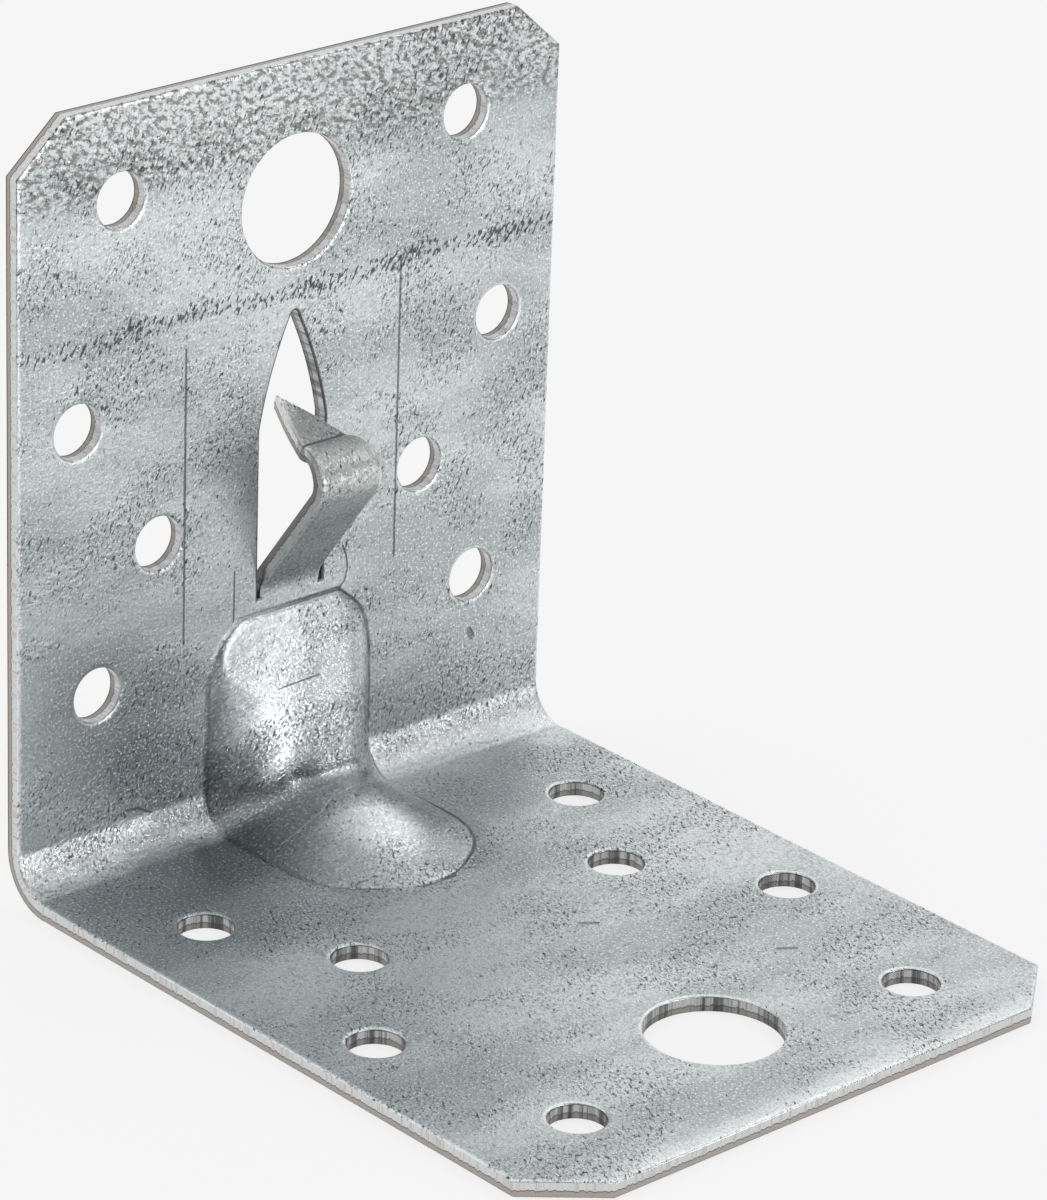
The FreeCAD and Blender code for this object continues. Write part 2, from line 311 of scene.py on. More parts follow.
@dataclass
class Tongue:
    """The lanced tongue: a strip that bows out, turns over its nose and bites back."""

    fold: Fold
    half_width: float = 3.35
    thickness: float = 1.4
    root: float = 22.3
    root_radius: float = 2.0
    lean: float = 37.0
    flank: float = 12.0
    nose_radius: float = 2.9
    fall: float = 16.4
    flap_rise: float = 18.5
    flap: float = 6.9
    crease_radius: float = 0.45
    waist_half: float = 2.05
    tip_half: float = 0.0
    blank_length: float = 24.4
    row_counts: Tuple[int, ...] = (6, 4, 26, 5, 5)
    outline_shares: Tuple[float, ...] = (0.0, 0.13, 0.26, 0.39, 0.52, 0.64, 0.75)

    @property
    def turns(self) -> List[Pair]:
        """Return the front line's runs as pairs of length and turn in radians."""
        lean = math.radians(self.lean)
        nose = lean + math.radians(90 + self.fall)
        crease = math.radians(self.fall + self.flap_rise)
        return [
            (self.root_radius * lean, lean),
            (self.flank, 0.0),
            (self.nose_radius * nose, -nose),
            (self.crease_radius * crease, crease),
            (self.flap, 0.0),
        ]

    @property
    def length(self) -> float:
        """Return the length of the front line."""
        return sum(length for length, turn in self.turns)

    @property
    def nose_front(self) -> float:
        """Return the place along the front line where the nose stands upright."""
        passed = self.turns[0][0] + self.turns[1][0]
        return passed + self.nose_radius * math.radians(self.lean)

    @property
    def crease(self) -> float:
        """Return the blank's station of the crease behind the nose."""
        passed = sum(length for length, turn in self.turns[:3]) + self.turns[3][0] / 2
        return self.fold.upright_station(self.root) + passed * self.blank_length / self.length

    def rows(self) -> List[float]:
        """Return the places along the front line that the strip is divided at."""
        places, passed = [0.0], 0.0
        for (length, turn), count in zip(self.turns, self.row_counts):
            places += [passed + length * (i + 1) / count for i in range(count)]
            passed += length
        return places[:-1]

    def front(self, place: float) -> Triple:
        """Follow the front line.

        Args:
            place: Distance along it from the root.

        Returns:
            Its y and z in the heel frame, and its lean from upright.
        """
        y, z, lean, left = -self.fold.sheet, self.root, 0.0, place
        for length, turn in self.turns:
            step = min(max(left, 0.0), length)
            left -= length
            bend = turn * step / length
            chord = step if abs(bend) < 1e-9 else 2 * step / bend * math.sin(bend / 2)
            y -= chord * math.sin(lean + bend / 2)
            z += chord * math.cos(lean + bend / 2)
            lean += bend
        return y, z, lean

    def half(self, place: float) -> float:
        """Return the strip's half-width at a place along the front line."""
        if place <= self.nose_front:
            return self.half_width
        near = self.front(self.nose_front)[0]
        far = self.front(self.length)[0]
        share = (self.front(place)[0] - near) / (far - near)
        line = self.half_width + (self.tip_half - self.half_width) * share
        swell = self.waist_half - (self.half_width + self.tip_half) / 2
        return line + 4 * swell * share * (1 - share)

    def place(self, x: float, s: float, t: float) -> Vector:
        """Return the curled place of a blank point of the strip."""
        stretch = self.length / self.blank_length
        y, z, lean = self.front((s - self.fold.upright_station(self.root)) * stretch)
        skin = (self.fold.sheet - t) * self.thickness / self.fold.sheet
        return Vector((x, y + skin * math.cos(lean), z + skin * math.sin(lean)))

    def outline(self) -> List[Pair]:
        """Return one side of the strip's outline in the blank, from root to tip."""
        shrink = self.blank_length / self.length
        start = self.fold.upright_station(self.root)
        points = []
        for share in self.outline_shares:
            place = self.nose_front + (self.length - self.nose_front) * share
            points.append((self.half(place), start + place * shrink))
        return points


@dataclass
class Slot:
    """The pointed slot in the upright, which the tongue was cut from."""

    fold: Fold
    foot: float = 22.0
    half_width: float = 3.7
    shoulder: float = 37.8
    waist_half: float = 2.45
    apex: float = 47.8
    apex_half: float = 0.45
    curve_points: int = 12
    tip_degrees: Tuple[int, ...] = (30, 60)

    def outline(self) -> List[Pair]:
        """Return one side of the slot's outline in the blank, from foot to apex."""
        station = self.fold.upright_station
        points = [(self.half_width, station(self.foot))]
        for i in range(self.curve_points + 1):
            share = i / self.curve_points
            line = self.half_width + (self.apex_half - self.half_width) * share
            swell = self.waist_half - (self.half_width + self.apex_half) / 2
            height = self.shoulder + (self.apex - self.shoulder) * share
            points.append((line + 4 * swell * share * (1 - share), station(height)))
        for degrees in self.tip_degrees:
            turn = math.radians(degrees)
            points.append((
                self.apex_half * math.cos(turn),
                station(self.apex + self.apex_half * math.sin(turn)),
            ))
        return points


@dataclass
class BracketSheet:
    """The whole bracket: a punched flat blank, folded, pressed and lanced."""

    fold: Fold = field(default_factory=Fold)
    width: float = 60.0
    upright_crop: Pair = (5.1, 4.5)
    base_crop: Pair = (6.2, 5.2)
    nail_hole: float = 5.0
    bolt_hole: float = 12.0
    rows: Stations = ((17.15, 21.4), (29.65, 14.8), (42.15, 23.6), (61.9, 19.1))
    bolt_row: float = 57.8
    pattern_shift: float = 0.55
    bolt_corners: int = 96
    nail_corners: int = 56
    roll_width: float = 0.45
    roll_depth: float = 0.16
    rings: Tuple[float, ...] = (0.03, 0.09, 0.18, 0.30, 0.45, 0.60)
    wall_levels: Tuple[float, ...] = (0.05, 0.46, 0.54, 0.95, 1.2)
    flare: float = 0.07
    flare_depth: float = 0.5
    # Strength of the painted shade on the walls of the base's holes, the upright's holes and the
    # slot, and how far past a hole's edge it is looked for
    base_wall_shade: float = 1.0
    upright_wall_shade: float = 0.4
    slot_wall_shade: float = 0.9
    wall_shade_margin: float = 0.3
    patch_half: float = 11.2
    patch_cell: float = 0.36
    patch_margins: Pair = (1.0, 0.7)
    bend_rows: int = 20
    strip_seed: float = 6.0
    sharp_degrees: float = 38.0

    def __post_init__(self) -> None:
        """Add the bead, the tongue and the slot to the fold."""
        self.bead = Bead(self.fold)
        self.tongue = Tongue(self.fold)
        self.slot = Slot(self.fold)

    def outline(self, bm: BMesh) -> None:
        """Draw the strip's cropped outline."""
        half = self.width / 2
        top, end = self.fold.upright_end, self.fold.base_end
        right = [
            (half - self.base_crop[0], end),
            (half, end + self.base_crop[1]),
            (half, top - self.upright_crop[1]),
            (half - self.upright_crop[0], top),
        ]
        self.loop(bm, right + [(-x, s) for x, s in reversed(right)])

    @staticmethod
    def loop(bm: BMesh, points: Iterable[Pair]) -> None:
        """Draw one closed run of straight edges through corners in the blank."""
        verts = [bm.verts.new((x, s, 0)) for x, s in points]
        for a, b in zip(verts, verts[1:] + verts[:1]):
            bm.edges.new((a, b))

    def hole_places(self) -> List[Tuple[float, float, float, int]]:
        """Return each hole of one leg as x, row, diameter and number of corners."""
        places = [(0.0, self.bolt_row, self.bolt_hole, self.bolt_corners)]
        for row, offset in self.rows:
            places += [(x, row, self.nail_hole, self.nail_corners) for x in (-offset, offset)]
        return places

    def hole_stations(self, row: float) -> Pair:
        """Return the stations of one row, on the base and on the upright."""
        shift = self.pattern_shift
        return self.fold.base_station(row - shift), self.fold.upright_station(row + shift)

    def holes(self, bm: BMesh) -> None:
        """Punch the nail and bolt holes of both legs."""
        for x, row, diameter, corners in self.hole_places():
            for s in self.hole_stations(row):
                bmesh.ops.create_circle(
                    bm, cap_ends=False, segments=corners, radius=diameter / 2,
                    matrix=Matrix.Translation((x, s, 0)),
                )

    def wall_shade(self, x: float, s: float) -> float:
        """Return how strongly painted shade darkens a cut wall: 1 in a hole of the base, less
        elsewhere.
        """
        for middle, row, diameter, _ in self.hole_places():
            reach = diameter / 2 + self.wall_shade_margin
            for station, dark in zip(self.hole_stations(row), (self.base_wall_shade, self.upright_wall_shade)):
                if math.hypot(x - middle, s - station) < reach:
                    return dark
        low = self.fold.upright_station(self.slot.foot - 1)
        high = self.fold.upright_station(self.slot.apex + 1)
        inside = abs(x) < self.slot.half_width + self.wall_shade_margin and low < s < high
        return self.slot_wall_shade if inside else 0.0

    def lance(self, bm: BMesh) -> None:
        """Cut the tongue free inside its slot."""
        right = self.slot.outline()
        apex = (0.0, self.fold.upright_station(self.slot.apex + self.slot.apex_half))
        left = [(-x, s) for x, s in reversed(right)]
        strip = self.tongue.outline()
        foot = (self.tongue.half_width, self.fold.upright_station(self.slot.foot))
        tip = (0.0, self.fold.upright_station(self.tongue.root) + self.tongue.blank_length)
        inner_right = list(reversed(strip)) + [foot]
        inner_left = [(-x, s) for x, s in reversed(inner_right)]
        self.loop(bm, right + [apex] + left + inner_left + [tip] + inner_right)

    def cut(
        self, bm: BMesh, keep: Callable, axis: int, places: Iterable[float]
    ) -> None:
        """Divide some of the blank's faces along straight lines.

        Args:
            bm: The blank.
            keep: Tells from a face's middle and the face whether it is divided.
            axis: 0 for lines of equal x, 1 for lines of equal s, 2 for t.
            places: Where the lines lie.
        """
        normal = [0.0, 0.0, 0.0]
        normal[axis] = 1.0
        for place in places:
            faces = []
            for face in bm.faces:
                reach = [v.co[axis] for v in face.verts]
                crossed = min(reach) < place - ON_LINE and max(reach) > place + ON_LINE
                if crossed and keep(face.calc_center_median(), face):
                    faces.append(face)
            edges = {e for f in faces for e in f.edges}
            verts = {v for f in faces for v in f.verts}
            bmesh.ops.bisect_plane(
                bm, geom=faces + list(edges) + list(verts), dist=WELD,
                plane_co=[place * n for n in normal], plane_no=normal,
            )

    def merged(self, bm: BMesh, keep: Callable) -> None:
        """Merge the faces that pass a test into one."""
        faces = [f for f in bm.faces if keep(f.calc_center_median(), f)]
        bmesh.ops.dissolve_faces(bm, faces=faces, use_verts=False)

    def rim(self, bm: BMesh) -> None:
        """Lay rings along every cut edge and write down each one's distance."""
        inner = bm.faces[:]
        for passed, ring in zip((0.0,) + self.rings, self.rings):
            bmesh.ops.inset_region(
                bm, faces=inner, thickness=ring - passed, use_boundary=True,
                use_even_offset=True, use_interpolate=False,
            )
        layers = bm.verts.layers.float
        distance, across, lengthwise = (layers.new(n) for n in ("rim", "way_x", "way_s"))
        level = {v: 0 for v in bm.verts if v.is_boundary}
        front = list(level)
        for depth in range(1, len(self.rings) + 1):
            found = []
            for v in front:
                for e in v.link_edges:
                    other = e.other_vert(v)
                    if other not in level:
                        level[other] = depth
                        found.append(other)
                        if depth == 1:
                            way = (other.co - v.co) / self.rings[0]
                            v[across], v[lengthwise] = way.x, way.y
            front = found
        for v in bm.verts:
            depth = level.get(v, len(self.rings))
            v[distance] = 0.0 if depth == 0 else self.rings[depth - 1]

    def blank(self) -> BMesh:
        """Return the flat blank as one divided skin."""
        bm = bmesh.new()
        self.outline(bm)
        self.holes(bm)
        self.lance(bm)
        bmesh.ops.triangle_fill(bm, use_beauty=True, use_dissolve=False, edges=bm.edges[:])
        self.rim(bm)
        fold, half, cell = self.fold, self.patch_half, self.patch_cell
        low = fold.base_station(self.bead.reach + self.patch_margins[0])
        high = fold.upright_station(self.bead.top + self.patch_margins[1])
        bend, flank = fold.bend_length, self.width / 2 - self.rings[-1]

        def patch(c: Vector, f: BMFace) -> bool:
            """Tell whether a face lies under the bead and its surroundings."""
            return abs(c.x) < half and low < c.y < high

        self.cut(bm, lambda c, f: True, 1, (low, high, 0.0, bend))
        self.cut(bm, lambda c, f: low < c.y < high, 0, (-half, half))
        self.merged(bm, patch)
        for side in (-1, 1):
            self.merged(bm, lambda c, f: half < side * c.x < flank and 0 < c.y < bend)
        self.cut(bm, patch, 1, (0.0, bend))
        bends = [bend * i / self.bend_rows for i in range(1, self.bend_rows)]
        self.cut(bm, lambda c, f: 0 < c.y < bend, 1, bends)
        for start, end in ((low, 0.0), (bend, high)):
            count = round((end - start) / cell)
            self.cut(bm, patch, 1, [start + (end - start) * i / count for i in range(1, count)])
        count = round(2 * half / cell)
        self.cut(bm, patch, 0, [half * (2 * i / count - 1) for i in range(1, count)])
        self.divide_tongue(bm)
        return bm

    def strip(self, bm: BMesh) -> set:
        """Return the faces of the tongue's strip, above the slot's foot."""
        foot = self.fold.upright_station(self.slot.foot)
        inside = Vector((0, self.fold.upright_station(self.tongue.root) + self.strip_seed, 0))
        seed = min(bm.faces, key=lambda f: (f.calc_center_median() - inside).length)
        found, front = {seed}, [seed]
        while front:
            for e in front.pop().edges:
                if all(abs(v.co.y - foot) < LEVEL for v in e.verts):
                    continue
                for other in e.link_faces:
                    if other not in found:
                        found.add(other)
                        front.append(other)
        return found

    def divide_tongue(self, bm: BMesh) -> None:
        """Divide the tongue's strip across its bends and mark its points."""
        start = self.fold.upright_station(self.tongue.root)
        shrink = self.tongue.blank_length / self.tongue.length
        foot = self.fold.upright_station(self.slot.foot)
        self.cut(bm, lambda c, f: abs(c.x) < self.slot.half_width + 1, 1, (foot,))
        rim, inner = bm.verts.layers.float["rim"], self.rings[-2]
        flat = [f for f in self.strip(bm) if all(v[rim] > inner + LEVEL for v in f.verts)]
        bmesh.ops.dissolve_faces(bm, faces=flat, use_verts=False)
        tag = bm.faces.layers.int.new("strip")
        for face in self.strip(bm):
            face[tag] = 1
        rows = [start + row * shrink for row in self.tongue.rows()]
        self.cut(bm, lambda c, f: f[tag] == 1, 1, rows)
        mark = bm.verts.layers.float.new("tongue")
        for face in bm.faces:
            if face[tag] == 1:
                for v in face.verts:
                    if v.co.y > start - ON_LINE:
                        v[mark] = 1.0

    def thicken(self, bm: BMesh) -> None:
        """Give the flat blank the sheet's thickness, with bands along its cut walls."""
        grown = bmesh.ops.extrude_face_region(bm, geom=bm.faces[:], use_keep_orig=True)
        top = [g for g in grown["geom"] if isinstance(g, BMVert)]
        bmesh.ops.translate(bm, verts=top, vec=(0, 0, self.fold.sheet))
        self.cut(bm, lambda c, f: LEVEL < c.z < self.fold.sheet - LEVEL, 2, self.wall_levels)
        bmesh.ops.recalc_face_normals(bm, faces=bm.faces[:])

    def shape(self, bm: BMesh) -> None:
        """Roll the cut edges over, then fold, press and lance the thick blank."""
        fold = self.fold
        layers = bm.verts.layers.float
        rim, way_x, way_s, mark = (layers[n] for n in ("rim", "way_x", "way_s", "tongue"))
        uv = bm.loops.layers.uv.new("blank")
        names = ("depth", "pressed", "foot", "wall_shade")
        depth, pressed, foot, wall_shade = (layers.new(n) for n in names)
        for face in bm.faces:
            for loop in face.loops:
                loop[uv].uv = (loop.vert.co.x / UV_SCALE, loop.vert.co.y / UV_SCALE)
        for v in bm.verts:
            x, s, t = v.co
            v[depth] = t
            on_wall = v[rim] < AT_RIM
            near = 1 - v[rim] / self.roll_width
            if near > 0 and t > fold.sheet - LEVEL:
                t -= self.roll_depth * (1 - math.sqrt(max(1 - near * near, 0.0)))
            if on_wall and t < self.flare_depth:
                out = self.flare * (1 - t / self.flare_depth)
                x += v[way_x] * out
                s += v[way_s] * out
            v[foot] = -self.bead.foot_reach
            # How strongly this cut wall is darkened by painted shade
            v[wall_shade] = self.wall_shade(x, s) if on_wall and v[mark] < 0.5 else 0.0
            if v[mark] > 0.5:
                point = self.tongue.place(x, s, t)
            else:
                point = fold.place(x, s, t)
                v[foot] = self.bead.foot(point)
                point, v[pressed] = self.bead.press(point, t)
            v.co = fold.settled(point)

    def build(self) -> Object:
        """Build the bracket's mesh.

        Returns:
            The finished object, standing where the CAD solid stands.
        """
        bm = self.blank()
        LOG.info("blank: %d faces", len(bm.faces))
        self.thicken(bm)
        LOG.info("thick: %d faces", len(bm.faces))
        self.shape(bm)
        bmesh.ops.triangulate(bm, faces=[f for f in bm.faces if len(f.verts) > 4])
        rim = bm.verts.layers.float["rim"]
        for face in bm.faces:
            face.smooth = True
            cut = all(v[rim] < AT_RIM for v in face.verts)
            face.material_index = (Finish.CUT if cut else Finish.FACE).value
        sharp = math.radians(self.sharp_degrees)
        for edge in bm.edges:
            edge.smooth = not (edge.is_manifold and edge.calc_face_angle(0) > sharp)
        return to_object(bm, "bracket_sheet")

    def dress(self, piece: Object) -> None:
        """Give the bracket its finishes and join it to the frame."""
        piece.data.materials.append(GalvanisedFace().make(self))
        piece.data.materials.append(ShearedEdge().make())
        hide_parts("angle_bracket")
        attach(piece, "root")


def add(
    tree: NodeTree, kind: str, settings: Optional[Dict] = None,
    links: Optional[Dict] = None,
) -> Node:
    """Add one node with its settings and links.

    Args:
        tree: The material's or world's node tree.
        kind: The node's type name.
        settings: Values by the name of a property or input, or by input number.
        links: Sockets by the name or number of the input that they feed.

    Returns:
        The new node.
    """
    node = tree.nodes.new(kind)
    for key, value in (settings or {}).items():
        if isinstance(key, str) and hasattr(node, key):
            setattr(node, key, value)
        else:
            node.inputs[key].default_value = value
    for key, socket in (links or {}).items():
        tree.links.new(socket, node.inputs[key])
    return node


def joined(tree: NodeTree, operation: str, first, *others) -> Socket:
    """Return values and sockets joined in turn by one operation."""
    for other in others:
        settings, links = {"operation": operation}, {}
        for key, value in enumerate((first, other)):
            (links if isinstance(value, Socket) else settings)[key] = value
        first = add(tree, "ShaderNodeMath", settings, links).outputs[0]
    return first


@dataclass
class Pattern:
    """Builds masks over the blank's millimetres inside one material."""

    tree: NodeTree

    def __post_init__(self) -> None:
        """Read the blank's millimetres from the UV map."""
        uv = add(self.tree, "ShaderNodeUVMap", {"uv_map": "blank"})
        self.mm = add(
            self.tree, "ShaderNodeVectorMath", {"operation": "SCALE", "Scale": UV_SCALE},
            {0: uv.outputs["UV"]},
        ).outputs[0]
        split = add(self.tree, "ShaderNodeSeparateXYZ", {}, {0: self.mm})
        self.x, self.s = split.outputs[0], split.outputs[1]

    def math(self, operation: str, *values) -> Socket:
        """Return values and sockets joined in turn by one operation."""
        return joined(self.tree, operation, *values)

    def span(
        self, value: Socket, low: float, high: float, start: float = 0.0, end: float = 1.0
    ) -> Socket:
        """Return a smooth step of a value from one end to the other."""
        return add(
            self.tree, "ShaderNodeMapRange",
            {"interpolation_type": "SMOOTHSTEP", 1: low, 2: high, 3: start, 4: end}, {0: value},
        ).outputs[0]

    def noise(
        self, size: float, detail: float = 2.0, rough: float = 0.5,
        stretch: Pair = (1.0, 1.0), turn: float = 0.0, seed: float = 0.0,
    ) -> Socket:
        """Return noise whose grains have a real size.

        Args:
            size: The grain's size in millimetres.
            detail: Finer layers.
            rough: Weight of the finer layers.
            stretch: The grain's length across and along the strip, as multiples.
            turn: Degrees that the grains are turned by.
            seed: Shifts the pattern.

        Returns:
            The noise's value.
        """
        turned = add(
            self.tree, "ShaderNodeMapping",
            {"vector_type": "TEXTURE", "Rotation": (0, 0, math.radians(turn)),
             "Location": (seed * 37.0, seed * 53.0, 0), "Scale": (stretch[0], stretch[1], 1)},
            {"Vector": self.mm},
        )
        return add(
            self.tree, "ShaderNodeTexNoise",
            {"noise_dimensions": "2D", "Scale": 1 / size, "Detail": detail, "Roughness": rough},
            {"Vector": turned.outputs[0]},
        ).outputs[0]

    def band(self, value: Socket, centre: float, half: float, soft: float) -> Socket:
        """Return one inside a band of a value and nought outside it."""
        away = self.math("ABSOLUTE", self.math("SUBTRACT", value, centre), 0.0)
        return self.span(away, half, half + soft, 1.0, 0.0)

    def stroke(
        self, x: float, s: float, end_x: float, end_s: float, half: float, strength: float = 1.0
    ) -> Socket:
        """Return a straight mark's strength on it and nought beside it."""
        way = (end_x - x, end_s - s, 0.0)
        square = way[0] ** 2 + way[1] ** 2
        off = add(
            self.tree, "ShaderNodeVectorMath", {"operation": "SUBTRACT", 1: (x, s, 0.0)},
            {0: self.mm},
        ).outputs[0]
        dot = add(
            self.tree, "ShaderNodeVectorMath",
            {"operation": "DOT_PRODUCT", 1: tuple(c / square for c in way)}, {0: off},
        ).outputs["Value"]
        held = self.math("MAXIMUM", self.math("MINIMUM", dot, 1.0), 0.0)
        on_line = add(
            self.tree, "ShaderNodeVectorMath", {"operation": "SCALE", 0: way}, {"Scale": held}
        ).outputs[0]
        away = add(
            self.tree, "ShaderNodeVectorMath", {"operation": "DISTANCE"}, {0: off, 1: on_line}
        ).outputs["Value"]
        return self.span(away, half * 0.4, half, strength, 0.0)

    def marks(self, marks: Sequence[Mark]) -> Socket:
        """Return several straight marks as one mask."""
        return self.math("MAXIMUM", *[self.stroke(*mark) for mark in marks])

    def coated(self, ground: str, coats: Sequence[Tuple[str, Socket, float]]) -> Socket:
        """Return a colour with others laid over it, each by its mask and strength."""
        colour = linear(ground)
        for ink, mask, strength in coats:
            settings = {"data_type": "RGBA", "clamp_factor": True, 7: linear(ink)}
            links = {0: self.math("MULTIPLY", mask, strength)}
            (links if isinstance(colour, Socket) else settings)[6] = colour
            colour = add(self.tree, "ShaderNodeMix", settings, links).outputs[2]
        return colour

    def raised(self, start: Socket, steps: Sequence[Tuple[Socket, float]]) -> Socket:
        """Return a value with masks added to it, each by its weight."""
        for mask, weight in steps:
            start = self.math("ADD", start, self.math("MULTIPLY", mask, weight))
        return start

    def attribute(self, name: str) -> Socket:
        """Return one of the piece's own values."""
        return add(self.tree, "ShaderNodeAttribute", {"attribute_name": name}).outputs["Fac"]


def new_material(name: str) -> Tuple[Material, Node]:
    """Return a new material and its surface shader."""
    material = bpy.data.materials.new(name)
    material.use_nodes = True
    return material, material.node_tree.nodes["Principled BSDF"]


def join_metal(shader: Node, colour: Socket, rough: Socket, relief: Socket) -> None:
    """Join a metal's colour, roughness and relief in millimetres to its shader."""
    tree = shader.id_data
    bump = add(tree, "ShaderNodeBump", {"Strength": 1.0, "Distance": MM}, {"Height": relief})
    shader.inputs["Metallic"].default_value = 1.0
    tree.links.new(colour, shader.inputs["Base Color"])
    tree.links.new(rough, shader.inputs["Roughness"])
    tree.links.new(bump.outputs[0], shader.inputs["Normal"])


@dataclass(frozen=True)
class GalvanisedFace:
    """Hot-dip galvanised mild steel, skin-passed in the mill and then pressed.

    The zinc gives a cool pale grey with a soft mirror; small slanted pits and rubbed
    patches break it up, and the press polishes the bead. Its colour also holds painted
    highlights on the bead and the edges and painted shade around the fold, along the
    bead's foot and beside the slot.
    """

    name: str = "Hot-dip galvanised steel sheet"
    # Some colours also paint light: the brightest lays painted highlights, and the darker ones
    # painted shade
    zinc: str = "#d8dcdd"
    shade: str = "#abb1b3"
    dull_and_shade: str = "#747b7e"
    scuff: str = "#77746f"
    pit: str = "#4a4e50"
    beige: str = "#c9c2b4"
    bright_zinc_and_highlight: str = "#f2f5f6"
    roughness: float = 0.34
    # Heights on the upright: the row of heavy pits, where the scuffed band starts and is
    # full, the middle of the painted shade along the slot's edge and that of the tongue's dull
    # flank
    row_height: float = 50.3
    scuff_heights: Pair = (61.5, 64.0)
    slot_edge_shade_height: float = 35.0
    flank_height: float = 27.5
    # Grains by name: size in mm, layers, their weight, stretch across and along, turn, seed.
    # The zinc's own fine grain is smaller: it is drawn at 0.25 mm so that it shows.
    grains: Tuple[Tuple, ...] = (
        ("patches", 8.0, 3.0, 0.55, (1.3, 1.0), 0, 3.1),
        ("wander", 9.0, 2.0, 0.6, (1, 9), 0, 7.7),
        ("pits", 0.42, 2.0, 0.55, (0.75, 1.7), -27, 1.3),
        ("grit", 0.30, 2.0, 0.6, (0.8, 1.4), -20, 8.2),
        ("blotch", 0.62, 3.0, 0.7, (1.3, 0.8), -18, 2.9),
        ("line", 5.0, 2.0, 0.6, (1, 1), 0, 6.6),
        ("fine", 0.25, 3.0, 0.6, (1.0, 1.0), 0, 5.5),
        ("coarse", 0.7, 3.0, 0.6, (1.3, 1.0), 20, 2.2),
        ("cloud", 11.0, 3.0, 0.55, (2.6, 1.0), 0, 9.4),
        ("end", 3.0, 3.0, 0.6, (1.6, 1), 0, 1.9),
        ("crazed", 0.42, 3.0, 0.65, (1.0, 1.5), 0, 4.4),
    )
    # Painted highlights on the bead, painted shade near the fold and on the bead, lines of the
    # die's inserts, dents and scratches
    marks: Tuple[Tuple[str, Tuple[Mark, ...]], ...] = (
        ("painted_bead_highlights", ((-4.6, 11.6, -2.4, 8.6, 4.6, 0.4), (-1.0, -5.8, 0.8, -8.8, 4.4))),
        ("painted_fold_shade", (
            (-7.5, -1.8, -2.2, 1.2, 5.0), (-16.0, 1.0, -12.0, -4.0, 6.0, 0.8),
            (-16.5, 11.5, -11.5, 7.5, 6.5), (-26.0, -8.0, -12.0, -12.0, 11.0, 0.6),
            (-22.0, 16.0, -13.0, 11.0, 10.0, 0.6),
        )),
        ("painted_lobe_shade", ((-5.2, 7.4, -4.4, 7.8, 2.5),)),
        ("shaded", ((4.6, -14.0, 7.0, -9.6, 5.0),)),
        ("lines", (
            (-12.0, 21.68, -12.0, 49.08, 0.16), (12.0, 23.68, 12.0, 52.28, 0.16),
            (-6.4, 22.28, -6.35, 26.98, 0.13), (6.0, 26.28, 6.45, 25.08, 0.13),
            (6.45, 25.08, 6.6, 23.98, 0.14), (6.6, 23.98, 6.25, 22.78, 0.14),
            (6.25, 22.78, 5.6, 22.18, 0.13), (-2.4, 13.5, 2.2, 13.6, 0.10),
            (-18.2, 7.38, -16.9, 7.28, 0.15), (-16.9, 7.28, -15.4, 6.38, 0.15),
        )),
        ("dents", (
            (4.3, -30.95, 5.4, -31.8, 0.32), (14.4, -44.95, 15.7, -45.85, 0.30),
            (21.3, 13.88, 21.7, 13.18, 0.40),
        )),
        ("scratches", (
            (-7.8, -4.15, -3.1, -2.4, 0.07), (-3.1, -2.4, -0.6, -0.6, 0.06),
            (-0.6, -0.6, 1.0, 0.2, 0.05), (-2.3, 1.15, 1.8, 1.2, 0.05),
        )),
    )
    # The colours in the order that they are laid on, each by its mask and strength
    # Among them are painted highlights on the bead, its edges and the fine grain's glints, and
    # painted shade near the fold, on the bead, along creases and beside the slot
    coats: Tuple[Tuple[str, str, float], ...] = (
        ("shade", "cloud", 0.80), ("shade", "mottle", 0.55), ("beige", "tongue", 0.22),
        ("dull_and_shade", "flank", 0.30), ("bright_zinc_and_highlight", "painted_bead_highlights", 0.9), ("bright_zinc_and_highlight", "painted_highlights", 1.0),
        ("dull_and_shade", "painted_fold_shade", 0.62), ("dull_and_shade", "painted_lobe_shade", 0.45), ("dull_and_shade", "shaded", 0.42),
        ("dull_and_shade", "grit", 0.74), ("bright_zinc_and_highlight", "glints", 0.9), ("bright_zinc_and_highlight", "bare", 0.45),
        ("scuff", "smudge", 0.80), ("pit", "pits", 0.85), ("pit", "crease_and_slot_shade", 0.85),
        ("pit", "lines", 0.75), ("pit", "dents", 0.6), ("bright_zinc_and_highlight", "scratches", 0.8),
    )
    # What each mask adds to the roughness, and to the relief in millimetres
    roughs: Tuple[Tuple[str, float], ...] = (
        ("pits", 0.2), ("bend", -0.06), ("tongue", 0.10), ("polish", -0.09),
    )
    reliefs: Tuple[Tuple[str, float], ...] = (
        ("fine", 0.028), ("pits", -0.05), ("grit", -0.02), ("foot", -0.07), ("lines", -0.03),
        ("dents", -0.08), ("crazed", 0.11),
    )

    def masks(self, p: Pattern, sheet: "BracketSheet") -> Dict[str, Socket]:
        """Lay out the finish over the blank.

        Args:
            p: The material's patterns.
            sheet: The bracket, whose sizes place the bands.

        Returns:
            The masks by name.
        """
        fold, station = sheet.fold, sheet.fold.upright_station
        times = partial(p.math, "MULTIPLY")
        m = {name: p.noise(*grain) for name, *grain in self.grains}
        m.update({name: p.marks(marks) for name, marks in self.marks})
        m.update({name: p.attribute(name) for name in ("pressed", "tongue", "rim", "foot")})
        # Patches in which the pits stand thick and the coarse grain stands out
        patches = p.span(m["patches"], 0.40, 0.62)
        m["rise"] = times(m["coarse"], p.span(patches, 0, 1, 0.03, 0.07))
